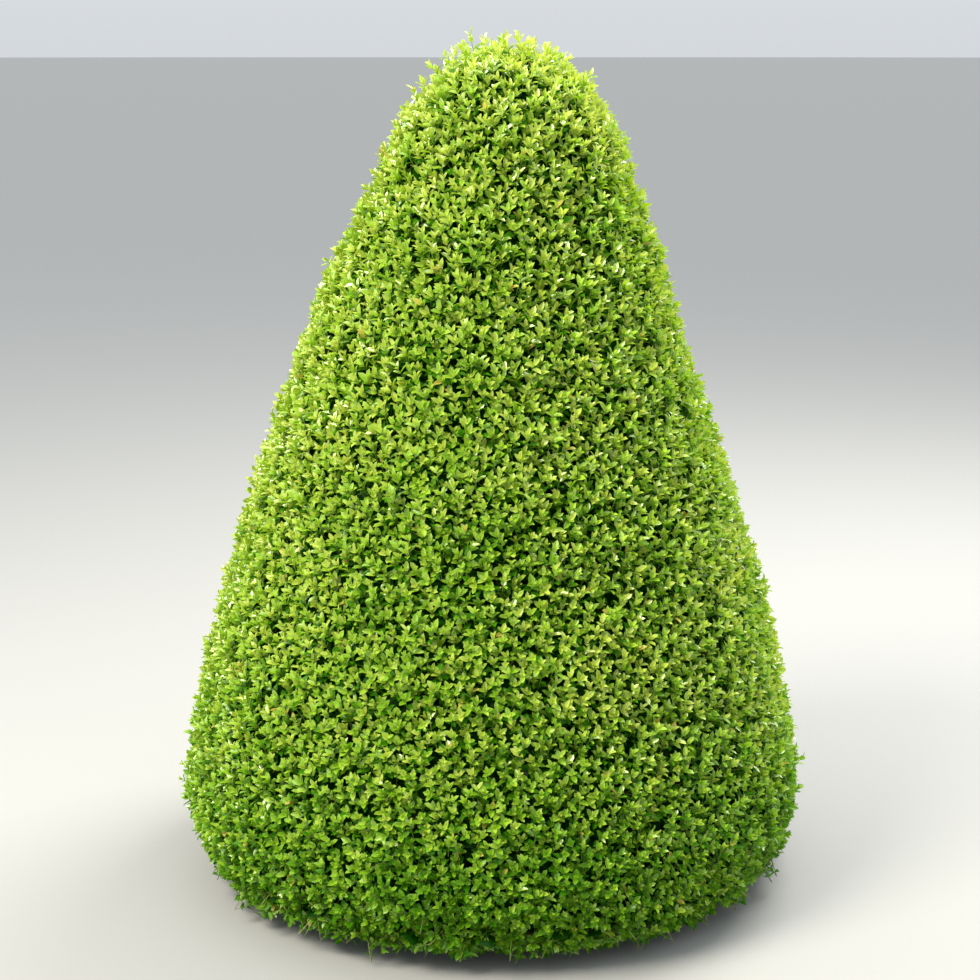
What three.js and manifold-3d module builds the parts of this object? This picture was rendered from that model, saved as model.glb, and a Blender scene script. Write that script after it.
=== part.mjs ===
// A boxwood clipped to a cone and rooted in the ground. A short trunk with a root flare stands in the
// recess under the foliage, and four boughs spread from it into the one clipped mass of leaves.
// Millimetres, +Z up. The origin is the middle of the flat cut under the trunk, and -Y is the front.
import * as THREE from "three";
import { mergeVertices } from "three/addons/utils/BufferGeometryUtils.js";
import Module from "manifold-3d";

const wasm = await Module();
wasm.setup();

// The clipped outline as radius and height: its corners, and the points that pull its three curves
const HEM = new THREE.Vector2(559, 30);
const SKIRT_PULL = new THREE.Vector2(620, 105);
const WIDEST = new THREE.Vector2(620, 195);
const FLANK_PULL = new THREE.Vector2(565, 616);
const SHOULDER = new THREE.Vector2(226, 1438);
const DOME_PULL = new THREE.Vector2(140, 1614);
const TOP = new THREE.Vector2(0, 1614);
const CURVE_STEPS = 40;

// The top was clipped a little off centre, to the right as seen from the front
const LEAN = 30;
const LEAN_FROM = 900;

// Trunk
const TRUNK = { height: 190, foot: 50, neck: 34, sides: 20, steps: 8 };
const ROOTS = { lobes: 5, depth: 15, flareHeight: 55 };

// Boughs. They start inside the trunk and are then cut clear of it, and end where they enter the mass.
const JOINT_GAP = 0.3;
const LIMB_SIDES = 8;
const LIMB_STEPS = 7;
const BOUGH = { base: 20, tip: 13, rootHeight: 64, rootStep: 8 };
const BOUGH_ELBOW = { radius: 115, height: 106 };
const BOUGH_TIP = { radius: 215, height: 158 };

// The dense core that the leaves stand out of, and the recess under it
const CORE = { inset: 64, bottom: 76, sides: 24, skirtSteps: 2, flankSteps: 6, domeSteps: 4 };
const RECESS = { radius: 75, height: 230 };

// Inside the mass each bough runs on, and a leader rises from the trunk. Branches leave them, then twigs.
const BOUGH_ON = { base: 12, tip: 8, straight: 60, radius: 330, height: 640 };
const LEADER = { base: 30, tip: 8, straight: 60, sway: 14, swayHeight: 520, height: 1200 };
const BRANCH = { base: 8, tip: 6, depth: 110, count: 30, forks: 6 };
const TWIG = { base: 5, tip: 2.4, sides: 3 };

// Sprays of leaves. A leaf of the solid stands for a tuft of real ones.
const SPRAYS = 200;
const SPRAY_LIFT = 0.6;
const PAIR_SETBACK = 6;
const LEAF = { length: 90, width: 48, ridge: 7, droop: 6, spread: 0.8 };
const GROUND_CLEARANCE = 6;
const SEED = 7;

const GOLDEN_ANGLE = Math.PI * (3 - Math.sqrt(5));
const QUARTER = Math.PI / 2;
const UP = new THREE.Vector3(0, 0, 1);
const { lerp, smoothstep } = THREE.MathUtils;

// Random numbers between two bounds that are the same on every run
function seededRandom(seed) {
  let state = seed;
  return (low, high) => {
    state = (Math.imul(state, 1664525) + 1013904223) >>> 0;
    return lerp(low, high, state / 2 ** 32);
  };
}

// The outline from the hem to the top, as points of radius (x) and height (y)
function outlinePoints(skirtSteps, flankSteps, domeSteps) {
  const skirt = new THREE.QuadraticBezierCurve(HEM, SKIRT_PULL, WIDEST).getPoints(skirtSteps);
  const flank = new THREE.QuadraticBezierCurve(WIDEST, FLANK_PULL, SHOULDER).getPoints(flankSteps);
  const dome = new THREE.QuadraticBezierCurve(SHOULDER, DOME_PULL, TOP).getPoints(domeSteps);
  return [...skirt, ...flank.slice(1), ...dome.slice(1)];
}

const OUTLINE = outlinePoints(CURVE_STEPS, CURVE_STEPS, CURVE_STEPS);

// The outline's radius at a height
function radiusAt(height) {
  const above = OUTLINE.findIndex((point) => point.y > height);
  if (above < 1) return above < 0 ? 0 : HEM.x;
  const [low, high] = [OUTLINE[above - 1], OUTLINE[above]];
  return lerp(low.x, high.x, (height - low.y) / (high.y - low.y));
}

// A point at an angle round the trunk, a distance from its axis and a height
const around = (angle, radius, height) =>
  new THREE.Vector3(radius * Math.cos(angle), radius * Math.sin(angle), height);

// A closed mesh as a solid
function solidOf(geometry) {
  const bare = geometry.clone();
  bare.deleteAttribute("normal");
  bare.deleteAttribute("uv");
  const merged = mergeVertices(bare);
  const vertProperties = merged.getAttribute("position").array;
  const triVerts = new Uint32Array(merged.index.array);
  return new wasm.Manifold(new wasm.Mesh({ numProp: 3, vertProperties, triVerts }));
}

// The largest body of a solid, without loose scraps
const mainBody = (solid) =>
  solid.decompose().reduce((best, body) => (body.volume() > best.volume() ? body : best));

const smoothLine = (...points) => new THREE.CatmullRomCurve3(points);

// A tapering limb along a smooth line
function limb(line, base, tip, sides, steps) {
  const frames = line.computeFrenetFrames(steps);
  const geometry = new THREE.CylinderGeometry(1, 1, 1, sides, steps);
  const position = geometry.getAttribute("position");
  for (let i = 0; i < position.count; i++) {
    const along = position.getY(i) + 0.5;
    const ring = Math.round(along * steps);
    const radius = lerp(base, tip, along);
    const place = line
      .getPointAt(along)
      .addScaledVector(frames.normals[ring], position.getX(i) * radius)
      .addScaledVector(frames.binormals[ring], -position.getZ(i) * radius);
    position.setXYZ(i, ...place);
  }
  return geometry;
}

// The trunk, with root lobes that die out above the ground. A clearance makes it larger, to cut with.
function trunkShape(clearance) {
  const height = TRUNK.height + clearance;
  const geometry = new THREE.CylinderGeometry(1, 1, height, TRUNK.sides, TRUNK.steps);
  geometry.rotateX(QUARTER).translate(0, 0, height / 2);
  const position = geometry.getAttribute("position");
  for (let i = 0; i < position.count; i++) {
    const [x, y] = [position.getX(i), position.getY(i)];
    const z = Math.max(position.getZ(i), 0);
    const lobe = (1 + Math.cos(ROOTS.lobes * Math.atan2(y, x))) / 2;
    const bole = lerp(TRUNK.foot, TRUNK.neck, Math.sqrt(z / height));
    const radius = bole + ROOTS.depth * lobe * Math.exp(-z / ROOTS.flareHeight) + clearance;
    position.setXYZ(i, x * radius, y * radius, z);
  }
  return geometry;
}

// The line of a bough, out from the trunk at one of four quarters
function boughLine(index) {
  const angle = index * QUARTER;
  return smoothLine(
    around(angle, 0, BOUGH.rootHeight + index * BOUGH.rootStep),
    around(angle, BOUGH_ELBOW.radius, BOUGH_ELBOW.height),
    around(angle, BOUGH_TIP.radius, BOUGH_TIP.height),
  );
}

// The line that a bough takes inside the mass, from just clear of its tip
function boughOnLine(index) {
  const outer = boughLine(index);
  const onward = outer.getTangentAt(1);
  const start = outer.getPointAt(1).addScaledVector(onward, JOINT_GAP);
  const bend = start.clone().addScaledVector(onward, BOUGH_ON.straight);
  return smoothLine(start, bend, around(index * QUARTER, BOUGH_ON.radius, BOUGH_ON.height));
}

// The line of the leader inside the mass, from just clear of the trunk. It sways a little on its way up.
function leaderLine() {
  const foot = TRUNK.height + JOINT_GAP;
  return smoothLine(
    around(0, 0, foot),
    around(0, 0, foot + LEADER.straight),
    around(QUARTER, LEADER.sway, LEADER.swayHeight),
    around(0, 0, LEADER.height),
  );
}

// The dense core: its outside follows the outline to a closed top, and its underside rises to a recess
function coreShape() {
  const line = outlinePoints(CORE.skirtSteps, CORE.flankSteps, CORE.domeSteps);
  const outside = line.map((point, i) => {
    const along = (line[i + 1] ?? TOP).clone().sub(line[i - 1] ?? HEM).normalize();
    const inwards = new THREE.Vector2(-along.y, along.x).multiplyScalar(CORE.inset);
    return inwards.add(point);
  });
  outside[0].y = CORE.bottom;
  outside.at(-1).set(0, TOP.y - CORE.inset);
  const recess = [0, RECESS.radius].map((radius) => new THREE.Vector2(radius, RECESS.height));
  return new THREE.LatheGeometry([...recess, ...outside], CORE.sides).rotateX(QUARTER);
}

// One leaf: a blade pointed at both ends, flat below and ridged above along its midrib, from a sphere
// with one row of three corners. The tip droops a little.
function leafBlade() {
  const blade = new THREE.SphereGeometry(1, 3, 2);
  const position = blade.getAttribute("position");
  const cornerReach = Math.sin((2 * Math.PI) / 3);
  for (let i = 0; i < position.count; i++) {
    const along = (position.getY(i) + 1) / 2;
    const across = -position.getZ(i) / cornerReach / 2;
    const ridge = Math.max(-position.getX(i), 0) * LEAF.ridge;
    position.setXYZ(i, along * LEAF.length, across * LEAF.width, ridge - along ** 2 * LEAF.droop);
  }
  return blade;
}

const BLADE = leafBlade();

// A leaf rooted at a place. It leans out from the twig's axis and turns its upper side to the axis.
function leafAt(place, axis, outward, spread, size) {
  const aim = axis.clone().multiplyScalar(Math.cos(spread)).addScaledVector(outward, Math.sin(spread));
  const face = axis.clone().multiplyScalar(Math.sin(spread)).addScaledVector(outward, -Math.cos(spread));
  const frame = new THREE.Matrix4().makeBasis(aim, face.clone().cross(aim), face);
  frame.scale(new THREE.Vector3(size, size, size)).setPosition(place);
  return BLADE.clone().applyMatrix4(frame);
}

// The leaves at a twig's end: an open pair, and between them one that carries the twig on
function sprayLeaves(tip, axis, random) {
  const level = new THREE.Vector3(-axis.y, axis.x, 0).normalize();
  const outward = level.applyAxisAngle(axis, random(0, 2 * QUARTER));
  const root = tip.clone().addScaledVector(axis, -PAIR_SETBACK);
  const pair = [outward.clone(), outward.clone().negate()].map((side) =>
    leafAt(root, axis, side, LEAF.spread * random(0.85, 1.15), random(0.85, 1.1)),
  );
  return [leafAt(tip, axis, outward, 0, 1), ...pair];
}

// Places spread evenly over the outline: each turns by the golden angle and climbs by an equal area
function sprayPlaces(random) {
  const bands = OUTLINE.slice(1).map((high, i) => {
    const low = OUTLINE[i];
    return { low, high, area: (high.x + low.x) * high.distanceTo(low) };
  });
  const whole = bands.reduce((sum, band) => sum + band.area, 0);
  return Array.from({ length: SPRAYS }, (_, k) => {
    let left = (whole * (k + random(0.3, 0.7))) / SPRAYS;
    const band = bands.find(({ area }) => (left -= area) < 0);
    const place = band.high.clone().lerp(band.low, -left / band.area);
    const slope = band.high.clone().sub(band.low).normalize();
    const angle = k * GOLDEN_ANGLE;
    const normal = around(angle, slope.y, -slope.x);
    return { point: around(angle, place.x, place.y), normal };
  });
}

// Whether every corner of a leaf lies inside the clipped outline and above the ground
function fits(geometry) {
  const position = geometry.getAttribute("position");
  return Array.from({ length: position.count }, (_, i) => {
    const corner = new THREE.Vector3().fromBufferAttribute(position, i);
    const room = radiusAt(Math.max(corner.z, HEM.y)) + LEAF.ridge;
    return corner.z > GROUND_CLEARANCE && corner.z <= TOP.y && Math.hypot(corner.x, corner.y) < room;
  }).every(Boolean);
}

const nearest = (options, target) =>
  options.reduce((best, place) => (place.distanceTo(target) < best.distanceTo(target) ? place : best));

// The one clipped mass: core, inner limbs, branches, twigs and leaves, grown outwards by the same rule
function growFoliage(random) {
  const boughsOn = boughNames.map((_, index) => boughOnLine(index));
  const leader = leaderLine();
  const shapes = [coreShape(), limb(leader, LEADER.base, LEADER.tip, LIMB_SIDES, LIMB_STEPS)];
  shapes.push(...boughsOn.map((line) => limb(line, BOUGH_ON.base, BOUGH_ON.tip, LIMB_SIDES, LIMB_STEPS)));
  const forks = [...boughsOn, leader].flatMap((line) => line.getSpacedPoints(BRANCH.forks).slice(1));
  const places = sprayPlaces(random);
  const branchTips = Array.from({ length: BRANCH.count }, (_, i) => {
    const { point, normal } = places[Math.floor(((i + 0.5) * SPRAYS) / BRANCH.count)];
    return point.clone().addScaledVector(normal, -BRANCH.depth);
  });
  for (const tip of branchTips) {
    shapes.push(limb(smoothLine(nearest(forks, tip), tip), BRANCH.base, BRANCH.tip, TWIG.sides, 1));
  }
  for (const { point, normal } of places) {
    const axis = normal.clone().addScaledVector(UP, SPRAY_LIFT * random(0.6, 1.4)).normalize();
    const tip = point.clone().addScaledVector(axis, -LEAF.length);
    const line = smoothLine(nearest(branchTips, tip), tip);
    shapes.push(limb(line, TWIG.base, TWIG.tip, TWIG.sides, 1));
    shapes.push(...sprayLeaves(tip, axis, random).filter(fits));
  }
  return mainBody(wasm.Manifold.union(shapes.map(solidOf)));
}

// A solid as a named mesh, leaned over towards the top
function meshOf(name, solid, material) {
  const { numVert, vertProperties, triVerts } = solid.getMesh();
  const places = new THREE.BufferAttribute(vertProperties.slice(), 3);
  for (let i = 0; i < numVert; i++) {
    places.setX(i, places.getX(i) + LEAN * smoothstep(places.getZ(i), LEAN_FROM, TOP.y));
  }
  const geometry = new THREE.BufferGeometry();
  geometry.setAttribute("position", places);
  geometry.setIndex(new THREE.BufferAttribute(triVerts, 1));
  geometry.computeVertexNormals();
  const mesh = new THREE.Mesh(geometry, material);
  mesh.name = name;
  return mesh;
}

const bark = new THREE.MeshStandardMaterial({ color: 0x7d6a50, roughness: 0.9, metalness: 0 });
const leaf = new THREE.MeshStandardMaterial({ color: 0x6f9a2a, roughness: 0.5, metalness: 0 });

const cutter = solidOf(trunkShape(JOINT_GAP));
const boughNames = ["bough_right", "bough_back", "bough_left", "bough_front"];

const topiary = new THREE.Group();
topiary.add(meshOf("trunk", solidOf(trunkShape(0)), bark));
boughNames.forEach((name, index) => {
  const bough = limb(boughLine(index), BOUGH.base, BOUGH.tip, LIMB_SIDES, LIMB_STEPS);
  topiary.add(meshOf(name, mainBody(solidOf(bough).subtract(cutter)), bark));
});
topiary.add(meshOf("foliage", growFoliage(seededRandom(SEED)), leaf));

export default topiary;
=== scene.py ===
# %% [markdown]
# # A boxwood clipped to a cone
#
# Box is a slow evergreen shrub with small leathery leaves. Sheared once or twice a year, it answers each
# cut with several short shoots, and after some years the outside is a dense felt of shoot tips over a
# dark, twiggy inside. We build it as it grows: limbs first, then branches, twigs and shoots, each level
# starting from the level before it, and the leaves last.
#
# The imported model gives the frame. Every size below is in metres, +Z is up, and -Y is the front.

import math

import bpy
import numpy as np
from mathutils.kdtree import KDTree
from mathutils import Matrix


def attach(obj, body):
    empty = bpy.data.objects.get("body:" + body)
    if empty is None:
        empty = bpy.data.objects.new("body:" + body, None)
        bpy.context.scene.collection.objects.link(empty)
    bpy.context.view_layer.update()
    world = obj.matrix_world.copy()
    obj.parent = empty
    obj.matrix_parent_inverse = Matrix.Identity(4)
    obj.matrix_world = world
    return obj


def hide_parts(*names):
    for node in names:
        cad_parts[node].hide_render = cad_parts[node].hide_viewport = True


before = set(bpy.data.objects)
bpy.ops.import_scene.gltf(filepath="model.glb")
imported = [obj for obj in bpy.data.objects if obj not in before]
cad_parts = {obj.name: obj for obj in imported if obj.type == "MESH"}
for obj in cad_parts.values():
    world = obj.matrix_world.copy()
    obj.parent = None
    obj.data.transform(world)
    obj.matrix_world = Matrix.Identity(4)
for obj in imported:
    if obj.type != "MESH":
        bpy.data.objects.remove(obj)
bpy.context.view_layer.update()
scene = bpy.context.scene

# %% [markdown]
# ## Camera
#
# Someone stands nearly four metres away and looks a little down at the cone. A long lens keeps its sides
# straight. The eye is at the height of the cone's top, so the horizon lies just there.

# %% Camera
EYE = (-0.005, -3.82, 1.6)
LOOK_DOWN = math.radians(12.43)
LENS = 73.5


def add_camera():
    camera = bpy.data.objects.new("camera", bpy.data.cameras.new("camera"))
    camera.data.lens = LENS
    camera.location = EYE
    camera.rotation_euler = (math.pi / 2 - LOOK_DOWN, 0, 0)
    scene.collection.objects.link(camera)
    scene.camera = camera


add_camera()
print("Camera at", EYE, "with a lens of", LENS, "mm")

# %% [markdown]
# ## Light and floor
#
# Leaves look best under a bright overcast sky, which is soft from all round and brighter overhead than at
# the horizon. The world's strength climbs in the same way. One large lamp in front, high on the left, is a
# little warm and models the form. Another behind on the right lights the edges through the leaves. The
# floor is a plain pale disc.

# %% Sky
SKY = (0.92, 0.96, 1.0, 1)
SKY_STRENGTH = {"horizon": 0.72, "overhead": 1.75}


def add_sky():
    world = bpy.data.worlds.new("sky")
    world.use_nodes = True
    nodes, links = world.node_tree.nodes, world.node_tree.links
    nodes["Background"].inputs["Color"].default_value = SKY
    direction = nodes.new("ShaderNodeTexCoord")
    parts = nodes.new("ShaderNodeSeparateXYZ")
    climb = nodes.new("ShaderNodeMapRange")
    climb.inputs["To Min"].default_value = SKY_STRENGTH["horizon"]
    climb.inputs["To Max"].default_value = SKY_STRENGTH["overhead"]
    links.new(direction.outputs["Generated"], parts.inputs["Vector"])
    links.new(parts.outputs["Z"], climb.inputs["Value"])
    links.new(climb.outputs["Result"], nodes["Background"].inputs["Strength"])
    scene.world = world


add_sky()
scene.view_settings.view_transform = "Standard"
print("Strength of the sky:", SKY_STRENGTH)

# %% Lamps
LAMPS = {
    "soft_lamp": {"place": (-2.7, -2.4, 4.2), "size": 2.4, "power": 420, "colour": (1.0, 0.93, 0.80)},
    "edge_lamp": {"place": (2.2, 1.9, 4.2), "size": 3.0, "power": 330, "colour": (1.0, 0.97, 0.90)},
}


def add_lamp(name, place, size, power, colour):
    light = bpy.data.lights.new(name, "AREA")
    light.shape = "DISK"
    light.size = size
    light.energy = power
    light.color = colour
    lamp = bpy.data.objects.new(name, light)
    lamp.location = place
    aim = -lamp.location.normalized()
    lamp.rotation_euler = aim.to_track_quat("-Z", "Y").to_euler()
    scene.collection.objects.link(lamp)


for name, lamp in LAMPS.items():
    add_lamp(name, **lamp)
print("Lamps:", ", ".join(LAMPS))

# %% Floor
FLOOR_RADIUS = 400
FLOOR_SIDES = 96
FLOOR_COLOUR = (0.30, 0.30, 0.29, 1)
FLOOR_ROUGHNESS = 0.9


def add_floor():
    bpy.ops.mesh.primitive_circle_add(vertices=FLOOR_SIDES, radius=FLOOR_RADIUS, fill_type="NGON")
    floor = bpy.context.object
    floor.name = "floor"
    paint = bpy.data.materials.new("floor_paint")
    paint.use_nodes = True
    shader = paint.node_tree.nodes["Principled BSDF"]
    shader.inputs["Base Color"].default_value = FLOOR_COLOUR
    shader.inputs["Roughness"].default_value = FLOOR_ROUGHNESS
    floor.data.materials.append(paint)


add_floor()
print("Floor radius:", FLOOR_RADIUS)

# %% [markdown]
# ## The clipped outline
#
# The shears leave one smooth surface: a skirt that tucks in near the ground, a flank that swells a
# little, and a domed top. Seen from the side that is three curves, each pulled by one point. The same
# curves shape the solids, so the leaves end where the solids do.

# %% The clipped outline
HEM = (0.559, 0.030)
SKIRT_PULL = (0.620, 0.105)
WIDEST = (0.620, 0.195)
FLANK_PULL = (0.565, 0.616)
SHOULDER = (0.226, 1.438)
DOME_PULL = (0.140, 1.614)
TOP = (0.0, 1.614)
UNDERSIDE = (0.33, 0.075)
CURVE_STEPS = 40

# The top was clipped a little off centre
LEAN = 0.030
LEAN_FROM = 0.9


def curve(start, pull, end):
    along = np.linspace(0, 1, CURVE_STEPS + 1)[:, None]
    start, pull, end = np.array(start), np.array(pull), np.array(end)
    return (1 - along) ** 2 * start + 2 * along * (1 - along) * pull + along**2 * end


skirt = curve(HEM, SKIRT_PULL, WIDEST)
flank = curve(WIDEST, FLANK_PULL, SHOULDER)
dome = curve(SHOULDER, DOME_PULL, TOP)
outline = np.vstack([skirt, flank[1:], dome[1:]])
print("Outline points:", len(outline), "widest", outline[:, 0].max(), "top", outline[:, 1].max())

# %% [markdown]
# ## Small helpers for directions and lines
#
# A shrub is thousands of directions, so they are kept in arrays and worked on all at once: `around` puts
# points round the trunk, `unit` makes directions one long, and `leaned` tips the upper part over.
# `smooth_line` runs a line through a few points without kinks, as a limb grows.

# %% Directions
GOLDEN_ANGLE = math.pi * (3 - math.sqrt(5))
UP = np.array([0.0, 0.0, 1.0])
SEED = 7
rng = np.random.default_rng(SEED)


def around(angle, radius, height):
    return np.stack(np.broadcast_arrays(radius * np.cos(angle), radius * np.sin(angle), height), -1)


def unit(vectors):
    return vectors / np.linalg.norm(vectors, axis=-1, keepdims=True)


def leaned(points):
    share = np.clip((points[..., 2] - LEAN_FROM) / (TOP[1] - LEAN_FROM), 0, 1)
    moved = points.copy()
    moved[..., 0] += LEAN * share * share * (3 - 2 * share)
    return moved


print("The top leans to", leaned(np.array([0.0, 0.0, TOP[1]])))

# %% Smooth lines
FINE_STEPS = 33


def smooth_line(through, steps):
    through = np.array(through, float)
    ends = [2 * through[0] - through[1]], through, [2 * through[-1] - through[-2]]
    points = np.concatenate(ends)
    gaps = np.sqrt(np.linalg.norm(np.diff(points, axis=0), axis=1))
    pieces = []
    for i in range(1, len(points) - 2):
        before, here, ahead, after = points[i - 1 : i + 3]
        g0, g1, g2 = gaps[i - 1 : i + 2]
        leave = g1 * ((here - before) / g0 - (ahead - before) / (g0 + g1) + (ahead - here) / g1)
        arrive = g1 * ((ahead - here) / g1 - (after - here) / (g1 + g2) + (after - ahead) / g2)
        t = np.linspace(0, 1, FINE_STEPS)[:, None]
        piece = here + leave * t + (3 * (ahead - here) - 2 * leave - arrive) * t**2
        pieces.append(piece + (2 * (here - ahead) + leave + arrive) * t**3)
    dense = np.vstack([pieces[0]] + [piece[1:] for piece in pieces[1:]])
    reached = np.append(0, np.cumsum(np.linalg.norm(np.diff(dense, axis=0), axis=1)))
    wanted = np.linspace(0, reached[-1], steps + 1)
    return np.stack([np.interp(wanted, reached, dense[:, axis]) for axis in range(3)], -1)


print("Fine steps between two points of a line:", FINE_STEPS)

# %% [markdown]
# ## Places on the surface
#
# Shoots crowd the surface evenly, with no rows. A sunflower does the same with its seeds: each next one
# turns by the golden angle and moves on by an equal area. A small random push along the surface then
# hides the spirals that this leaves.

# %% Places on the surface
STEP_SHARE = (0.3, 0.7)
LEAST_RADIUS = 0.001
LEAST_TURN_RADIUS = 0.03


def places(count, push, line=outline):
    low, high = line[:-1], line[1:]
    area = (low[:, 0] + high[:, 0]) * np.linalg.norm(high - low, axis=1)
    reached = np.append(0, np.cumsum(area))
    share = (np.arange(count) + rng.uniform(*STEP_SHARE, count)) / count * reached[-1]
    band = np.clip(np.searchsorted(reached, share, side="right") - 1, 0, len(area) - 1)
    along = (share - reached[band]) / area[band]
    slope = unit(high - low)[band]
    place = low[band] + (high - low)[band] * along[:, None] + slope * rng.normal(0, push, (count, 1))
    radius = np.maximum(place[:, 0], LEAST_RADIUS)
    turn = rng.normal(0, push, count) / np.maximum(radius, LEAST_TURN_RADIUS)
    angle = np.arange(count) * GOLDEN_ANGLE + turn
    return around(angle, radius, place[:, 1]), around(angle, slope[:, 1], -slope[:, 0])


def nearest(options, targets):
    tree = KDTree(len(options))
    for index, option in enumerate(options):
        tree.insert(option, index)
    tree.balance()
    return np.array([tree.find(target)[1] for target in targets])


print("Golden angle:", round(math.degrees(GOLDEN_ANGLE), 1), "degrees")

# %% [markdown]
# ## Tints of a living leaf
#
# New leaves are a bright yellow green and darken as they harden, and a few tips are bronzed by cold. A
# leaf is glossy above, slightly mottled, and lets some light through, which is why backlit tips glow.
# Each tint is a material of its own with a plain base colour, and the sprays are dealt out among them.
# Noise at the size of a leaf varies the colour a little, and a finer noise breaks up the gloss.

# %% Nodes for leaves and bark
NOISE_SPAN = (0.3, 0.7)

# A Mix node has sockets for numbers, vectors and colours. These are the colour ones.
FIRST_COLOUR = 6
SECOND_COLOUR = 7
MIXED_COLOUR = 2


def node(material, kind, **settings):
    made = material.node_tree.nodes.new(kind)
    for name, value in settings.items():
        setattr(made, name, value)
    return made


def noise(material, scale, detail=2.0):
    place = node(material, "ShaderNodeTexCoord")
    made = node(material, "ShaderNodeTexNoise")
    made.inputs["Scale"].default_value = scale
    made.inputs["Detail"].default_value = detail
    material.node_tree.links.new(place.outputs["Object"], made.inputs["Vector"])
    return made.outputs["Fac"]


def between(material, source, low, high):
    made = node(material, "ShaderNodeMapRange")
    made.inputs["From Min"].default_value = NOISE_SPAN[0]
    made.inputs["From Max"].default_value = NOISE_SPAN[1]
    made.inputs["To Min"].default_value = low
    made.inputs["To Max"].default_value = high
    material.node_tree.links.new(source, made.inputs["Value"])
    return made.outputs["Result"]


def blended(material, source, low, high):
    made = node(material, "ShaderNodeMix", data_type="RGBA")
    made.inputs[FIRST_COLOUR].default_value = (*low, 1)
    made.inputs[SECOND_COLOUR].default_value = (*high, 1)
    material.node_tree.links.new(between(material, source, 0, 1), made.inputs[0])
    return made.outputs[MIXED_COLOUR]


def bump(material, source, strength, distance):
    made = node(material, "ShaderNodeBump")
    made.inputs["Strength"].default_value = strength
    made.inputs["Distance"].default_value = distance
    material.node_tree.links.new(source, made.inputs["Height"])
    return made.outputs["Normal"]


print("Noise is stretched from", NOISE_SPAN)

# %% [markdown]
# ## The pale margin and its painted highlight
#
# The thin margin of a box leaf is paler than its face. Here it is drawn brighter still, and that part is a
# painted highlight for the glint that leaf edges catch. A line painted in an image would blur at this size.
# The colour follows an attribute that each blade carries instead, 0 in its middle and 1 on its edge.

# %% Pale margin
# RIM_BRIGHTNESS and RIM_TONE make the margin brighter than a real one: a painted edge highlight
RIM_FROM = 0.7
RIM_SHARE = 0.8
RIM_OWN = 0.4
RIM_BRIGHTNESS = 1.5
RIM_TONE = (0.62, 0.92, 0.15)


def with_margin_and_highlight(material, tint, colour):
    """Draws each leaf's pale margin, brightened into a painted edge highlight, as its own colour allows."""
    reach = node(material, "ShaderNodeAttribute", attribute_name="rim")
    share = node(material, "ShaderNodeMapRange")
    share.inputs["From Min"].default_value = RIM_FROM
    share.inputs["To Max"].default_value = RIM_SHARE
    edge = RIM_OWN * np.array(colour) + (1 - RIM_OWN) * RIM_BRIGHTNESS * max(colour) * np.array(RIM_TONE)
    made = node(material, "ShaderNodeMix", data_type="RGBA")
    made.inputs[SECOND_COLOUR].default_value = (*edge, 1)
    links = material.node_tree.links
    links.new(reach.outputs["Fac"], share.inputs["Value"])
    links.new(share.outputs["Result"], made.inputs[0])
    links.new(tint, made.inputs[FIRST_COLOUR])
    return made.outputs[MIXED_COLOUR]


print("The margin starts at", RIM_FROM, "of the way to the edge")

# %% Leaf material
TRANSLUCENCE = 0.3
MOTTLE_SCALE = 75
MOTTLE_SPAN = (0.8, 1.2)
GLOSS_SCALE = 260
GLOSS_SPAN = (-0.08, 0.1)
GRAIN_SCALE = 900
GRAIN_STRENGTH = 0.25
GRAIN_HEIGHT = 0.0006


def leaf_material(name, colour, glow, roughness, sheen, margin_and_highlight):
    material = bpy.data.materials.new(name)
    material.use_nodes = True
    links = material.node_tree.links
    shader = material.node_tree.nodes["Principled BSDF"]
    output = material.node_tree.nodes["Material Output"]
    darker, lighter = (np.array(colour) * share for share in MOTTLE_SPAN)
    tint = blended(material, noise(material, MOTTLE_SCALE), darker, lighter)
    # The pale margin, brightened into a painted highlight on the leaf's edge
    if margin_and_highlight:
        tint = with_margin_and_highlight(material, tint, colour)
    smoothest, roughest = (roughness + change for change in GLOSS_SPAN)
    gloss = between(material, noise(material, GLOSS_SCALE), smoothest, roughest)
    grain = bump(material, noise(material, GRAIN_SCALE), GRAIN_STRENGTH, GRAIN_HEIGHT)
    shader.inputs["Specular IOR Level"].default_value = sheen
    links.new(tint, shader.inputs["Base Color"])
    links.new(gloss, shader.inputs["Roughness"])
    links.new(grain, shader.inputs["Normal"])
    through = node(material, "ShaderNodeBsdfTranslucent")
    through.inputs["Color"].default_value = (*glow, 1)
    mix = node(material, "ShaderNodeMixShader")
    mix.inputs[0].default_value = TRANSLUCENCE
    links.new(shader.outputs["BSDF"], mix.inputs[1])
    links.new(through.outputs["BSDF"], mix.inputs[2])
    links.new(mix.outputs["Shader"], output.inputs["Surface"])
    return material


print("Light that a leaf lets through:", TRANSLUCENCE)

# %% Leaf finishes
TINTS = {
    "lime": {"colour": (0.44, 0.55, 0.060), "glow": (0.62, 0.72, 0.07), "roughness": 0.32, "sheen": 1.3},
    "fresh": {"colour": (0.325, 0.51, 0.027), "glow": (0.44, 0.65, 0.02), "roughness": 0.28, "sheen": 1.3},
    "mid": {"colour": (0.218, 0.42, 0.010), "glow": (0.30, 0.55, 0.008), "roughness": 0.28, "sheen": 1.0},
    "deep": {"colour": (0.103, 0.275, 0.005), "glow": (0.14, 0.40, 0.006), "roughness": 0.30, "sheen": 0.4},
    "old": {"colour": (0.048, 0.20, 0.002), "glow": (0.07, 0.28, 0.003), "roughness": 0.36, "sheen": 0.22},
    "bronze": {"colour": (0.50, 0.40, 0.070), "glow": (0.58, 0.42, 0.05), "roughness": 0.40, "sheen": 0.5},
    # The inner tint is near-black, darker than old leaves are: painted shade for the shade deep in the crown
    "inner": {"colour": (0.005, 0.047, 0.001), "glow": (0.008, 0.07, 0.001), "roughness": 0.5, "sheen": 0.12},
}
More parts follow.
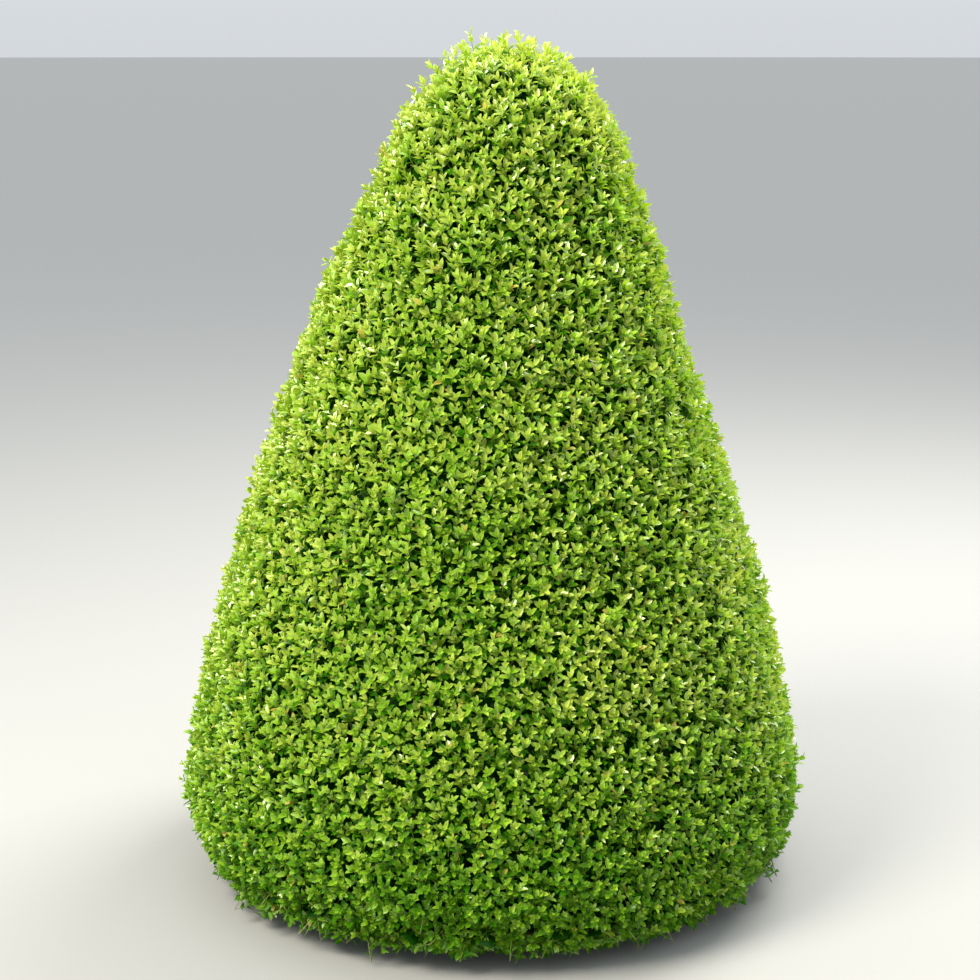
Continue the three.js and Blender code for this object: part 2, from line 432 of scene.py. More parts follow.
# Old and inner leaves get neither the pale margin nor its painted highlight
NO_MARGIN_OR_HIGHLIGHT = ("old", "inner")

LEAF_FINISHES = {
    tint: leaf_material(f"leaf_{tint}", margin_and_highlight=tint not in NO_MARGIN_OR_HIGHLIGHT, **look) for tint, look in TINTS.items()
}
print("Leaf finishes:", ", ".join(LEAF_FINISHES))

# %% [markdown]
# ## Bark
#
# Old box wood is grey brown and corky, broken into small ridges along the stem. Young shoots are green
# and smooth for a year or two. The mesh carries the ridges. The material adds lighter and darker patches
# and a fine grain.

# %% Bark material
BARK_DETAIL = 6.0
BARK_GRAIN = {"finer": 5, "detail": 4.0, "strength": 0.5, "height": 0.002}
BARK_ROUGHNESS = {"finer": 2, "spread": 0.08}


def bark_material(name, dark, pale, scale, roughness):
    material = bpy.data.materials.new(name)
    material.use_nodes = True
    links = material.node_tree.links
    shader = material.node_tree.nodes["Principled BSDF"]
    spread = BARK_ROUGHNESS["spread"]
    patches = noise(material, scale * BARK_ROUGHNESS["finer"])
    fine = noise(material, scale * BARK_GRAIN["finer"], BARK_GRAIN["detail"])
    tint = blended(material, noise(material, scale, BARK_DETAIL), dark, pale)
    rough = between(material, patches, roughness - spread, roughness + spread)
    grain = bump(material, fine, BARK_GRAIN["strength"], BARK_GRAIN["height"])
    links.new(tint, shader.inputs["Base Color"])
    links.new(rough, shader.inputs["Roughness"])
    links.new(grain, shader.inputs["Normal"])
    return material


BARKS = {
    "old_bark": {"dark": (0.10, 0.075, 0.048), "pale": (0.30, 0.25, 0.18), "scale": 55, "roughness": 0.85},
    "brown_twig": {"dark": (0.07, 0.06, 0.025), "pale": (0.16, 0.14, 0.06), "scale": 90, "roughness": 0.75},
    "green_twig": {"dark": (0.17, 0.25, 0.035), "pale": (0.33, 0.42, 0.07), "scale": 120, "roughness": 0.55},
}
BARK_FINISHES = {name: bark_material(name, **look) for name, look in BARKS.items()}
print("Bark finishes:", ", ".join(BARK_FINISHES))

# %% [markdown]
# ## Finished pieces
#
# Every piece ends in the same way: it rides on the one body of the plant and stands for a solid of the
# frame, which it hides.

# %% Finish a piece
def finish_piece(name, mesh, replaced):
    piece = bpy.data.objects.new(name, mesh)
    scene.collection.objects.link(piece)
    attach(piece, "root")
    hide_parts(replaced)
    print(f"{name}: {sum(len(face.vertices) - 2 for face in mesh.polygons)} triangles")


print("Solids that pieces stand for: trunk, the four boughs and foliage")

# %% [markdown]
# ## Trunk and boughs
#
# The trunk is short and flares into five roots. Four boughs leave it at the quarters and rise into the
# crown. Each is a ring of points swept along its line. The ridges of the bark push those points in and
# out, so the relief is in the shape and shows against the light.

# %% Bark relief
RELIEF = 0.035
RIDGES = 11
WANDER = {"slow": 23, "slow_push": 1.3, "quick": 61, "quick_push": 0.8, "start": 1.7}
PLATES = {"each_metre": 190, "height": 0.45, "turn": 3, "climb": 31, "push": 2.2}
RELIEF_MIDDLE = 0.6


def bark_relief(angle, along):
    slow = WANDER["slow_push"] * np.sin(along * WANDER["slow"] + WANDER["start"])
    quick = WANDER["quick_push"] * np.sin(along * WANDER["quick"] + angle)
    ridges = np.abs(np.sin(angle * RIDGES / 2 + (slow + quick)))
    bend = PLATES["push"] * np.sin(angle * PLATES["turn"] + along * PLATES["climb"])
    plates = np.abs(np.sin(along * PLATES["each_metre"] + bend))
    return (ridges - RELIEF_MIDDLE) + PLATES["height"] * (plates - RELIEF_MIDDLE) * ridges


def ring_mesh(name, rings, material):
    count, sides = rings.shape[:2]
    points = np.vstack([rings.reshape(-1, 3), rings[0].mean(0), rings[-1].mean(0)])
    faces = []
    for ring in range(count - 1):
        for side in range(sides):
            here, beside = ring * sides + side, ring * sides + (side + 1) % sides
            faces.append((here, beside, beside + sides, here + sides))
    for side in range(sides):
        beside, last = (side + 1) % sides, (count - 1) * sides
        faces.append((beside, side, len(points) - 2))
        faces.append((last + side, last + beside, len(points) - 1))
    mesh = bpy.data.meshes.new(name)
    mesh.from_pydata(leaned(points), [], faces)
    mesh.polygons.foreach_set("use_smooth", [True] * len(faces))
    mesh.materials.append(material)
    return mesh


print("Depth of the bark:", RELIEF, "of the radius, in", RIDGES, "ridges")

# %% Trunk
TRUNK = {"height": 0.190, "foot": 0.050, "neck": 0.034, "sides": 72, "rings": 60}
ROOTS = {"lobes": 5, "depth": 0.015, "flare": 0.055}


def trunk_rings():
    angle = np.linspace(0, 2 * math.pi, TRUNK["sides"], endpoint=False)
    height = np.linspace(0, TRUNK["height"], TRUNK["rings"])[:, None]
    bole = TRUNK["foot"] + (TRUNK["neck"] - TRUNK["foot"]) * np.sqrt(height / TRUNK["height"])
    lobe = (1 + np.cos(ROOTS["lobes"] * angle)) / 2 * np.exp(-height / ROOTS["flare"])
    radius = bole + ROOTS["depth"] * lobe
    return around(angle, radius * (1 + RELIEF * bark_relief(angle, height)), height)


trunk_mesh = ring_mesh("trunk_bark", trunk_rings(), BARK_FINISHES["old_bark"])
finish_piece("trunk_bark", trunk_mesh, "trunk")

# %% Boughs
BOUGH = {"base": 0.020, "tip": 0.013, "root_height": 0.064, "root_step": 0.008}
BOUGH_ELBOW = {"radius": 0.115, "height": 0.106}
BOUGH_TIP = {"radius": 0.215, "height": 0.158}
BOUGH_NODES = ["bough_right", "bough_back", "bough_left", "bough_front"]
LIMB_SIDES = 28
LIMB_RELIEF = 1.4 * RELIEF
RING_SPACING = 0.005
SIDE_TILT = 0.3


def limb_rings(line, base, tip):
    along = np.append(0, np.cumsum(np.linalg.norm(np.diff(line, axis=0), axis=1)))
    forward = unit(np.gradient(line, axis=0))
    side = unit(np.cross(forward, np.roll(UP, 1) + SIDE_TILT * UP))
    rise = np.cross(side, forward)
    angle = np.linspace(0, 2 * math.pi, LIMB_SIDES, endpoint=False)
    radius = np.linspace(base, tip, len(line))[:, None]
    radius = radius * (1 + LIMB_RELIEF * bark_relief(angle, along[:, None]))
    out = side[:, None] * np.cos(angle)[:, None] + rise[:, None] * np.sin(angle)[:, None]
    return line[:, None] + out * radius[..., None]


def ring_count(through):
    return int(np.linalg.norm(np.diff(np.array(through), axis=0), axis=1).sum() / RING_SPACING)


def bough_points(index):
    angle = index * math.pi / 2
    return [
        around(angle, 0.0, BOUGH["root_height"] + index * BOUGH["root_step"]),
        around(angle, BOUGH_ELBOW["radius"], BOUGH_ELBOW["height"]),
        around(angle, BOUGH_TIP["radius"], BOUGH_TIP["height"]),
    ]


bough_lines = []
for index, replaced in enumerate(BOUGH_NODES):
    name = f"{replaced}_bark"
    through = bough_points(index)
    line = smooth_line(through, ring_count(through))
    rings = limb_rings(line, BOUGH["base"], BOUGH["tip"])
    finish_piece(name, ring_mesh(name, rings, BARK_FINISHES["old_bark"]), replaced)
    bough_lines.append(line)

# %% [markdown]
# ## Limbs inside the crown
#
# Inside the foliage each bough runs on towards the flank, and a leader rises from the trunk to three
# quarters of the height. They are swept like the boughs. Their spaced points are the forks that the
# branches leave from.

# %% Lines of the inner limbs
BOUGH_ON = {"base": 0.012, "tip": 0.006, "straight": 0.060, "radius": 0.330, "height": 0.640}
LEADER = {"base": 0.030, "tip": 0.007, "straight": 0.060, "sway": 0.014, "sway_height": 0.520, "height": 1.2}


def bough_on_points(index):
    end = bough_lines[index][-1]
    onward = unit(end - bough_lines[index][-2])
    goal = around(index * math.pi / 2, BOUGH_ON["radius"], BOUGH_ON["height"])
    return [end, end + onward * BOUGH_ON["straight"], goal]


def leader_points():
    foot = TRUNK["height"]
    return [
        around(0, 0.0, foot),
        around(0, 0.0, foot + LEADER["straight"]),
        around(math.pi / 2, LEADER["sway"], LEADER["sway_height"]),
        around(0, 0.0, LEADER["height"]),
    ]


inner_lines = [bough_on_points(index) for index in range(4)] + [leader_points()]
inner_sizes = [(BOUGH_ON["base"], BOUGH_ON["tip"])] * 4 + [(LEADER["base"], LEADER["tip"])]
print("Inner limbs:", len(inner_lines))

# %% Limbs inside the crown
FORKS = 6


def joined(meshes, name):
    points, faces, start = [], [], 0
    for mesh in meshes:
        points += [vertex.co[:] for vertex in mesh.vertices]
        faces += [tuple(start + corner for corner in face.vertices) for face in mesh.polygons]
        start += len(mesh.vertices)
    whole = bpy.data.meshes.new(name)
    whole.from_pydata(points, [], faces)
    whole.polygons.foreach_set("use_smooth", [True] * len(faces))
    whole.materials.append(meshes[0].materials[0])
    return whole


inner_meshes = []
forks = []
for through, (base, tip) in zip(inner_lines, inner_sizes):
    rings = limb_rings(smooth_line(through, ring_count(through)), base, tip)
    inner_meshes.append(ring_mesh("limb", rings, BARK_FINISHES["old_bark"]))
    forks.append(smooth_line(through, FORKS)[1:])
forks = np.vstack(forks)
finish_piece("inner_limbs", joined(inner_meshes, "inner_limbs"), "foliage")

# %% [markdown]
# ## Branches, twigs and twiglets
#
# Each level ends at more places and nearer the surface than the last, and each line starts from the
# nearest end of the level before. That one rule, used again and again, gives a crown that forks ever
# finer. The solids have the first two levels too, as many and grown by the same rule.

# %% Grow the levels
BRANCH = {"count": 30, "depth": 0.110, "bow": 0.03, "points": 9, "fork": 5}
TWIG = {"count": 200, "depth": 0.085, "bow": 0.012, "points": 6, "fork": 3}
TWIGLET = {"count": 4200, "depth": 0.055, "bow": 0.007, "points": 4}
DEPTH_SPREAD = (0.85, 1.15)
PUSH = 0.004

grown_outline = np.vstack([[UNDERSIDE], outline])


def ends_of(level, normal_depth):
    points, normals = places(level["count"], PUSH, grown_outline)
    depth = level["depth"] * normal_depth
    return points - normals * depth[:, None], normals


def bowed_lines(starts, ends, bow, points):
    """Lines from starts to ends that sag a little to one side, as (line, point, coordinate)."""
    along = np.linspace(0, 1, points)[None, :, None]
    push = rng.normal(0, 1, starts.shape) * bow
    return starts[:, None] + (ends - starts)[:, None] * along + push[:, None] * np.sin(along * math.pi)


def grow(level, sources):
    ends, normals = ends_of(level, rng.uniform(*DEPTH_SPREAD, level["count"]))
    starts = sources[nearest(sources, ends)]
    return bowed_lines(starts, ends, level["bow"], level["points"]), ends, normals


def forks_on(lines, ends, level):
    return np.vstack([ends, lines[:, level["fork"]]])


branch_lines, branch_ends, _ = grow(BRANCH, forks)
twig_lines, twig_ends, _ = grow(TWIG, forks_on(branch_lines, branch_ends, BRANCH))
twiglet_lines, twiglet_ends, twiglet_normals = grow(TWIGLET, forks_on(twig_lines, twig_ends, TWIG))
print("Lines:", len(branch_lines), len(twig_lines), len(twiglet_lines))

# %% [markdown]
# ## Shoots
#
# Shoots follow the same rule, but the last stretch of each turns up and outwards, which is what the light
# and the shears make of it. The shoots of one twiglet make a tuft that stands a little higher or lower
# than the next, and so do the tufts of one twig, which leaves shallow dark furrows between them. A few
# shoots have outgrown the others since the last cut, most of them at the top. Those that would touch the
# ground are left out.

# %% Grow the shoots
SHOOT = {"count": 15200, "depth": 0.016}
SHOOT_DEPTH_SPREAD = (0.0, 1.2)
SHOOT_LENGTH = 0.034
SHOOT_LIFT = (0.45, 1.3)
SHOOT_SPLAY = 0.3
TUFT_DEPTH = 0.012
SPRAY_DEPTH = 0.007
STRAY_SHARE = (0.015, 0.3)
STRAY_GROWTH = (0.2, 0.5)
STRAY_GROWTH_ON_TOP = 0.6
DOME_FROM = 1.40
LOWEST = 0.010

shoot_ends, shoot_normals = ends_of(SHOOT, rng.uniform(*SHOOT_DEPTH_SPREAD, SHOOT["count"]))
tuft_depths = rng.uniform(0, TUFT_DEPTH, TWIGLET["count"])
tuft_depths = tuft_depths + rng.uniform(0, SPRAY_DEPTH, TWIG["count"])[nearest(twig_ends, twiglet_ends)]
shoot_ends = shoot_ends - shoot_normals * tuft_depths[nearest(twiglet_ends, shoot_ends)][:, None]
lift = rng.uniform(*SHOOT_LIFT, (SHOOT["count"], 1))
splay = rng.normal(0, SHOOT_SPLAY, (SHOOT["count"], 3))
shoot_axes = unit(shoot_normals + UP * lift + splay)
highness = np.clip((shoot_ends[:, 2] - DOME_FROM) / (TOP[1] - DOME_FROM), 0, 1)
stray = rng.random(SHOOT["count"]) < STRAY_SHARE[0] + (STRAY_SHARE[1] - STRAY_SHARE[0]) * highness
vigour = 1 + stray * rng.uniform(STRAY_GROWTH[0], STRAY_GROWTH[1] + STRAY_GROWTH_ON_TOP * highness)
shoot_ends = shoot_ends + shoot_axes * ((vigour - 1) * SHOOT_LENGTH)[:, None]
shoot_knees = shoot_ends - shoot_axes * (vigour * SHOOT_LENGTH)[:, None]
off_ground = np.minimum(shoot_knees[:, 2], shoot_ends[:, 2]) > LOWEST
shoot_axes, vigour = shoot_axes[off_ground], vigour[off_ground]
shoot_ends, shoot_knees = shoot_ends[off_ground], shoot_knees[off_ground]
shoot_count = len(shoot_ends)
shoot_sources = twiglet_ends[nearest(twiglet_ends, shoot_knees)]
shoot_lines = np.stack([shoot_sources, shoot_knees, shoot_ends], axis=1)
print("Shoots:", shoot_count)

# %% [markdown]
# ## Lines into wood with Geometry Nodes
#
# A line of edges with a thickness at each point is all that a twig needs. The tree below turns the edges
# into curves and sweeps a small polygon along them, scaled by that thickness. The number of sides is an
# input, so stout branches are rounder than hair-thin shoots.

# %% Helpers for a tree of nodes
def new_tree(name, sockets):
    tree = bpy.data.node_groups.new(name, "GeometryNodeTree")
    tree.interface.new_socket("Geometry", in_out="INPUT", socket_type="NodeSocketGeometry")
    for label, (kind, value) in sockets.items():
        socket = tree.interface.new_socket(label, in_out="INPUT", socket_type=kind)
        if value is not None:
            socket.default_value = value
    tree.interface.new_socket("Geometry", in_out="OUTPUT", socket_type="NodeSocketGeometry")
    return tree


def add(tree, kind, links=(), values=(), **settings):
    made = tree.nodes.new(kind)
    for name, value in settings.items():
        setattr(made, name, value)
    for name, source in dict(links).items():
        tree.links.new(source, made.inputs[name])
    for name, value in dict(values).items():
        made.inputs[name].default_value = value
    return made


def stored(tree, name, kind):
    made = add(tree, "GeometryNodeInputNamedAttribute", values={"Name": name}, data_type=kind)
    return made.outputs["Attribute"]


def close_tree(tree, geometry, given):
    real = add(tree, "GeometryNodeRealizeInstances", {"Geometry": geometry})
    smooth = add(tree, "GeometryNodeSetShadeSmooth", {"Geometry": real.outputs["Geometry"]})
    finish = {"Geometry": smooth.outputs["Geometry"], "Material": given.outputs["Material"]}
    painted = add(tree, "GeometryNodeSetMaterial", finish)
    add(tree, "NodeGroupOutput", {"Geometry": painted.outputs["Geometry"]})


print("Each tree ends in Realize Instances and Set Material")

# %% Wood tree
def wood_tree():
    sockets = {"Sides": ("NodeSocketInt", 3), "Material": ("NodeSocketMaterial", None)}
    tree = new_tree("wood_along_lines", sockets)
    given = add(tree, "NodeGroupInput")
    lines = add(tree, "GeometryNodeMeshToCurve", {"Mesh": given.outputs["Geometry"]})
    ring = add(tree, "GeometryNodeCurvePrimitiveCircle", {"Resolution": given.outputs["Sides"]})
    swept = add(
        tree,
        "GeometryNodeCurveToMesh",
        {
            "Curve": lines.outputs["Curve"],
            "Profile Curve": ring.outputs["Curve"],
            "Scale": stored(tree, "thickness", "FLOAT"),
        },
        {"Fill Caps": True},
    )
    close_tree(tree, swept.outputs["Mesh"], given)
    return tree


WOOD_TREE = wood_tree()
print("Nodes that make the wood:", len(WOOD_TREE.nodes))

# %% [markdown]
# ## From a tree of nodes to a plain mesh
#
# A modifier is only a recipe. Its inputs are set first, then Blender works the recipe out once, and we
# keep the result as a plain mesh. What the points carried for the recipe is dropped again.

# %% Plain meshes
CARRIED = ("thickness", "aim", "upper", "size")


def baked(name, carried, tree, settings):
    carrier = bpy.data.objects.new(name, carried)
    scene.collection.objects.link(carrier)
    modifier = carrier.modifiers.new("grow", "NODES")
    modifier.node_group = tree
    for item in tree.interface.items_tree:
        if item.name in settings:
            modifier[item.identifier] = settings[item.name]
    evaluated = carrier.evaluated_get(bpy.context.evaluated_depsgraph_get())
    mesh = bpy.data.meshes.new_from_object(evaluated)
    bpy.data.objects.remove(carrier)
    bpy.data.meshes.remove(carried)
    for extra in CARRIED:
        if extra in mesh.attributes:
            mesh.attributes.remove(mesh.attributes[extra])
    return mesh


def store(mesh, name, kind, field, values):
    attribute = mesh.attributes.new(name, kind, "POINT")
    attribute.data.foreach_set(field, np.ascontiguousarray(values, np.float32).ravel())


print("Dropped from the plain meshes:", ", ".join(CARRIED))

# %% Branches, twigs, twiglets and shoots
WOOD = {
    "branches": {"base": 0.008, "tip": 0.005, "sides": 8, "material": BARK_FINISHES["brown_twig"]},
    "twigs": {"base": 0.0042, "tip": 0.0026, "sides": 6, "material": BARK_FINISHES["brown_twig"]},
    "twiglets": {"base": 0.0022, "tip": 0.0014, "sides": 3, "material": BARK_FINISHES["brown_twig"]},
    "shoots": {"base": 0.0012, "tip": 0.0007, "sides": 3, "material": BARK_FINISHES["green_twig"]},
}


def add_wood(name, lines, base, tip, sides, material):
    count, steps = lines.shape[:2]
    first = np.arange(count)[:, None] * steps + np.arange(steps - 1)
    edges = np.stack([first, first + 1], axis=-1).reshape(-1, 2)
    carried = bpy.data.meshes.new(name)
    carried.from_pydata(leaned(lines).reshape(-1, 3), edges, [])
    taper = np.linspace(base, tip, steps)
    store(carried, "thickness", "FLOAT", "value", np.tile(taper, count))
    mesh = baked(name, carried, WOOD_TREE, {"Sides": sides, "Material": material})
    finish_piece(name, mesh, "foliage")


add_wood("branches", branch_lines, **WOOD["branches"])
add_wood("twigs", twig_lines, **WOOD["twigs"])
add_wood("twiglets", twiglet_lines, **WOOD["twiglets"])
half = shoot_count // 2
add_wood("shoots_lower", shoot_lines[:half], **WOOD["shoots"])
add_wood("shoots_upper", shoot_lines[half:], **WOOD["shoots"])

# %% [markdown]
# ## Where the leaves sit
#
# Box carries its leaves in pairs, and each pair stands across the one before. Towards the tip the leaves
# are younger, smaller and held closer to the shoot, so a tip seen from outside is a small star. A row of
# the table below is one pair: how far back from the tip, how far it leans out, its length, and how much
# it has darkened. The vigorous top bears long narrow leaves, and the shaded foot short round ones.

# %% Leaf pairs
PAIRS = [
    {"back": 0.001, "lean": 24, "length": 0.0140, "age": -0.9},
    {"back": 0.006, "lean": 38, "length": 0.0176, "age": -0.4},
    {"back": 0.013, "lean": 52, "length": 0.0188, "age": 0.2},
    {"back": 0.023, "lean": 62, "length": 0.0192, "age": 0.9},
]
NEARLY_UPRIGHT = 0.05
GROWTH_HEIGHTS = (0.0, 0.5, 1.1, 1.6)
GROWTH_LENGTHS = (0.82, 0.95, 1.03, 1.1)
GROWTH_BREADTHS = (1.15, 1.05, 1.0, 0.92)


def beside(axes):
    """A direction square to each axis."""
    level = np.cross(axes, UP)
    level[np.linalg.norm(level, axis=1) < NEARLY_UPRIGHT] = (1.0, 0.0, 0.0)
    return unit(level)


def turned(axes, level, angle):
    other = np.cross(axes, level)
    return level * np.cos(angle)[:, None] + other * np.sin(angle)[:, None]


def leaf_rows(roots, axes, outwards, lean, length):
    """Leaves rooted on their shoots: place, direction, upper side and size."""
    lean = lean[:, None]
    aim = axes * np.cos(lean) + outwards * np.sin(lean)
    upper = axes * np.sin(lean) - outwards * np.cos(lean)
    length = length * np.interp(roots[:, 2], GROWTH_HEIGHTS, GROWTH_LENGTHS)
    breadth = length * np.interp(roots[:, 2], GROWTH_HEIGHTS, GROWTH_BREADTHS)
    return {"place": roots, "aim": aim, "upper": upper, "length": length, "breadth": breadth}


print("Leaves on each shoot:", 2 * len(PAIRS))

# %% Leaves of the shoots
LEAN_SPREAD = 8
LENGTH_SPREAD = 0.16
TURN_SPREAD = 0.15
AGE_SPREAD = 0.25
SPRAY_AGE_SPREAD = 0.2
SHOOT_AGE_SPREAD = 0.4

spray_youth = rng.normal(0, SPRAY_AGE_SPREAD, TWIG["count"])
own_youth = rng.normal(0, SHOOT_AGE_SPREAD, shoot_count)
shoot_youth = spray_youth[nearest(twig_ends, shoot_ends)] + own_youth
first_turn = rng.uniform(0, math.pi, shoot_count)
level = beside(shoot_axes)
rows = []
for number, pair in enumerate(PAIRS):
    for side in (0, math.pi):
        turn = first_turn + number * math.pi / 2 + side + rng.normal(0, TURN_SPREAD, shoot_count)
        lean = np.radians(pair["lean"] + rng.normal(0, LEAN_SPREAD, shoot_count))
        length = pair["length"] * (1 + rng.normal(0, LENGTH_SPREAD, shoot_count))
        age = pair["age"] - shoot_youth + rng.normal(0, AGE_SPREAD, shoot_count)
        roots = shoot_ends - shoot_axes * (vigour * pair["back"])[:, None]
        row = leaf_rows(roots, shoot_axes, turned(shoot_axes, level, turn), lean, length)
        rows.append(row | {"age": age, "pair": np.full(shoot_count, number)})
leaves = {key: np.concatenate([row[key] for row in rows]) for key in rows[0]}
print("Leaves on shoots:", len(leaves["place"]))

# %% [markdown]
# ## Older leaves inside
#
# Behind the tips sit last year's leaves, larger and darker. Their tint is darker than a real old leaf, and
# that part is painted shade for the shade deep in the crown. They turn their upper sides out to the light
# and close the view into the crown. Here they are made about twice life size, so that a quarter as many do.
# Twiglets spread from one fork like spokes, so leaves all along them would crowd round the forks. They sit
# on the outer part alone, where the twiglets stand evenly.

# %% Leaves of the twiglets
INNER_PER_TWIGLET = 10
INNER_FROM = 0.6
INNER_LENGTH = 0.036
INNER_LENGTHS = (0.8, 1.2)
INNER_LEANS = (65, 95)
INNER_TILT = 0.35


def inner_leaves():
    count = TWIGLET["count"] * INNER_PER_TWIGLET
    line = np.repeat(twiglet_lines, INNER_PER_TWIGLET, axis=0)
    along = rng.uniform(INNER_FROM, 1.0, (count, 1))
    start, end = line[:, 0], line[:, -1]
    facing = np.repeat(twiglet_normals, INNER_PER_TWIGLET, axis=0)
    facing = unit(facing + rng.normal(0, INNER_TILT, facing.shape))
    outwards = turned(facing, beside(facing), rng.uniform(0, 2 * math.pi, count))
    lean = np.radians(rng.uniform(*INNER_LEANS, count))
    length = INNER_LENGTH * rng.uniform(*INNER_LENGTHS, count)
    return leaf_rows(start + (end - start) * along, facing, outwards, lean, length)


inner = inner_leaves()
print("Older leaves inside:", len(inner["place"]))

# %% [markdown]
# ## One leaf, many times
#
# A box leaf is a narrow oval that runs to a point, folded along its midrib. A fan of six triangles holds
# that outline: a hexagon, stretched and drawn in towards the tip, with its middle pulled down. The edges
# along the midrib are marked sharp, so the two halves catch the light apart. The tree builds the leaf from
# named sizes and puts a copy on each point, turned by two directions: where the leaf points, and where
# its upper side looks. Leaves that hardly show make do with four corners.

# %% Outline of a leaf
MIDRIB_REACH = 0.001
HALF = 0.5
BROAD_AT_STALK = 1.1

# A hexagon of radius 1 reaches 0.866 to each side. This brings that to a half.
HALF_HEXAGON = 0.577


def maths(tree, operation, *values):
    made = tree.nodes.new("ShaderNodeMath")
    made.operation = operation
    for socket, value in zip(made.inputs, values):
        if isinstance(value, (int, float)):
            socket.default_value = value
        else:
            tree.links.new(value, socket)
    return made.outputs[0]


def blade_of_leaf(tree, given):
    corners = {"Vertices": given.outputs["Corners"]}
    disc = add(tree, "GeometryNodeMeshCircle", corners, fill_type="TRIANGLE_FAN")
    where = add(tree, "GeometryNodeInputPosition")
    reach = add(tree, "ShaderNodeVectorMath", {0: where.outputs["Position"]}, operation="LENGTH")
    edged = {"Geometry": disc.outputs["Mesh"], "Value": reach.outputs["Value"]}
    marked = add(tree, "GeometryNodeStoreNamedAttribute", edged, {"Name": "rim"}, data_type="FLOAT")
    parts = add(tree, "ShaderNodeSeparateXYZ", {"Vector": where.outputs["Position"]})
    along = maths(tree, "MULTIPLY", maths(tree, "ADD", parts.outputs["X"], 1.0), HALF)
    across = maths(tree, "MULTIPLY", parts.outputs["Y"], HALF_HEXAGON)
    narrowing = maths(tree, "MULTIPLY", along, given.outputs["Pointed"])
    drawn_in = maths(tree, "SUBTRACT", BROAD_AT_STALK, narrowing)
    broad = maths(tree, "MULTIPLY", drawn_in, given.outputs["Width"])
    sideways = maths(tree, "MULTIPLY", across, broad)
    folded = maths(tree, "MULTIPLY", maths(tree, "ABSOLUTE", sideways), given.outputs["Fold"])
    dropped = maths(tree, "MULTIPLY", maths(tree, "POWER", along, 2.0), given.outputs["Droop"])
    height = maths(tree, "SUBTRACT", folded, dropped)
    point = add(tree, "ShaderNodeCombineXYZ", {"X": along, "Y": sideways, "Z": height})
    moved = {"Geometry": marked.outputs["Geometry"], "Position": point.outputs["Vector"]}
    shaped = add(tree, "GeometryNodeSetPosition", moved)
    midrib = maths(tree, "LESS_THAN", maths(tree, "ABSOLUTE", sideways), MIDRIB_REACH)
    creased = {"Geometry": shaped.outputs["Geometry"], "Selection": midrib}
    unsmooth = {"Shade Smooth": False}
    blade = add(tree, "GeometryNodeSetShadeSmooth", creased, unsmooth, domain="EDGE")
    return blade.outputs["Geometry"]


print("Width factor at the stalk:", BROAD_AT_STALK)

# %% Leaf tree
def leaf_tree():
    sockets = {
        "Corners": ("NodeSocketInt", 6),
        "Width": ("NodeSocketFloat", 0.5),
        "Pointed": ("NodeSocketFloat", 0.35),
        "Fold": ("NodeSocketFloat", 0.5),
        "Droop": ("NodeSocketFloat", 0.12),
        "Material": ("NodeSocketMaterial", None),
    }
    tree = new_tree("leaves_on_points", sockets)
    given = add(tree, "NodeGroupInput")
    faced = {
        "Primary Axis": stored(tree, "aim", "FLOAT_VECTOR"),
        "Secondary Axis": stored(tree, "upper", "FLOAT_VECTOR"),
    }
    turn = add(tree, "FunctionNodeAxesToRotation", faced, primary_axis="X", secondary_axis="Z")
    copies = add(
        tree,
        "GeometryNodeInstanceOnPoints",
        {
            "Points": given.outputs["Geometry"],
            "Instance": blade_of_leaf(tree, given),
            "Rotation": turn.outputs["Rotation"],
            "Scale": stored(tree, "size", "FLOAT_VECTOR"),
        },
    )
    close_tree(tree, copies.outputs["Instances"], given)
    return tree


LEAF_TREE = leaf_tree()
print("Nodes that make the leaves:", len(LEAF_TREE.nodes))

# %% [markdown]
# ## Deal out the leaves
#
# Age decides the tint, and six young leaves in a thousand are bronzed. The lowest pair of a shoot is always
# old. Leaves that would reach the ground are left off. Low on the cone the leaves are older than at the top,
# as the top grows most. The same shift also paints light: it darkens the foot as painted shade and makes
# the top lighter and yellower as painted light.

# %% Pieces of one tint
# With six triangles to a leaf, a piece stays under 200,000
MOST_IN_PIECE = 33000


def leaf_piece(name, chosen, finish, settings):
    carried = bpy.data.meshes.new(name)
    carried.from_pydata(leaned(chosen["place"]), [], [])
    store(carried, "aim", "FLOAT_VECTOR", "vector", chosen["aim"])
    store(carried, "upper", "FLOAT_VECTOR", "vector", chosen["upper"])
    size = np.stack([chosen["length"], chosen["breadth"], chosen["length"]], axis=1)
    store(carried, "size", "FLOAT_VECTOR", "vector", size)
    mesh = baked(name, carried, LEAF_TREE, {"Material": LEAF_FINISHES[finish], **settings})
    finish_piece(name, mesh, "foliage")


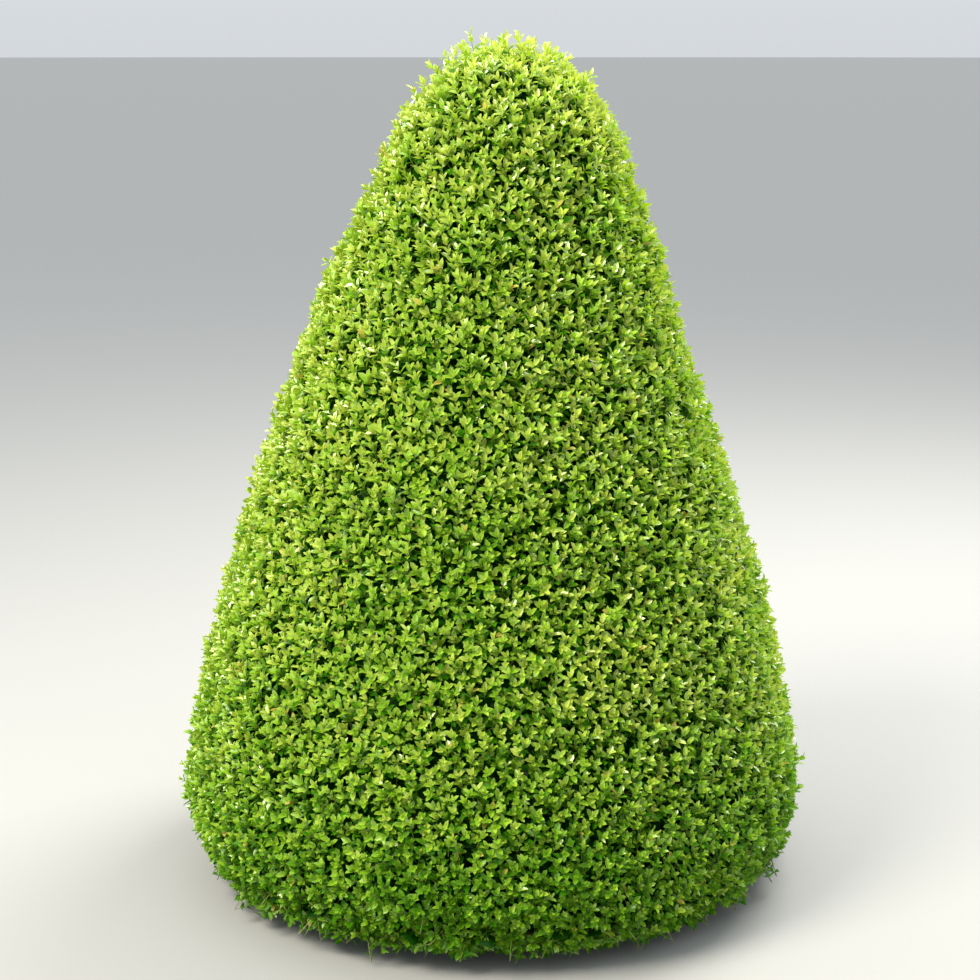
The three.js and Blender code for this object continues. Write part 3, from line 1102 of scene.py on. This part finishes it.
def kept(rows, chosen):
    return {key: values[chosen] for key, values in rows.items()}


def deal(rows, tint, settings):
    count = len(rows["place"])
    for part, start in enumerate(range(0, count, MOST_IN_PIECE)):
        name = f"leaves_{tint}" if count <= MOST_IN_PIECE else f"leaves_{tint}_{part + 1}"
        leaf_piece(name, kept(rows, slice(start, start + MOST_IN_PIECE)), tint, settings)


print("Most leaves in a piece:", MOST_IN_PIECE)

# %% Deal out the shoots' leaves
TINT_AGES = {
    "lime": (-math.inf, -0.75),
    "fresh": (-0.75, 0.15),
    "mid": (0.15, 0.95),
    "deep": (0.95, math.inf),
}
BRONZE_SHARE = 0.006
YOUNG_LEAF = {"Width": 0.46}
OLD_LEAF = {"Corners": 4, "Width": 0.55}
# Older, darker leaves low and younger, lighter ones on top: partly real, partly painted shade and painted
# light
AGE_HEIGHTS = (0.0, 0.45, 1.2, 1.6)
AGE_AND_LIGHT_SHIFTS = (2.0, 0.15, 0.0, -0.75)

tips = leaves["place"] + leaves["aim"] * leaves["length"][:, None]
clear = (tips[:, 2] > LOWEST) & (leaves["place"][:, 2] > LOWEST)
leaves = kept(leaves, clear)
leaves["age"] = leaves["age"] + np.interp(leaves["place"][:, 2], AGE_HEIGHTS, AGE_AND_LIGHT_SHIFTS)
old = leaves["pair"] == len(PAIRS) - 1
deal(kept(leaves, old), "old", OLD_LEAF)
bronzed = ~old & (rng.random(len(old)) < BRONZE_SHARE)
deal(kept(leaves, bronzed), "bronze", YOUNG_LEAF)
for tint, (youngest, oldest) in TINT_AGES.items():
    chosen = ~old & ~bronzed & (leaves["age"] >= youngest) & (leaves["age"] < oldest)
    deal(kept(leaves, chosen), tint, YOUNG_LEAF)

# %% Deal out the older leaves
INNER_LEAF = {"Corners": 4, "Width": 0.9, "Fold": 0.2}
INNER_LOWEST = 0.045

inner_tips = inner["place"] + inner["aim"] * inner["length"][:, None]
inner = kept(inner, np.minimum(inner_tips[:, 2], inner["place"][:, 2]) > INNER_LOWEST)
deal(inner, "inner", INNER_LEAF)
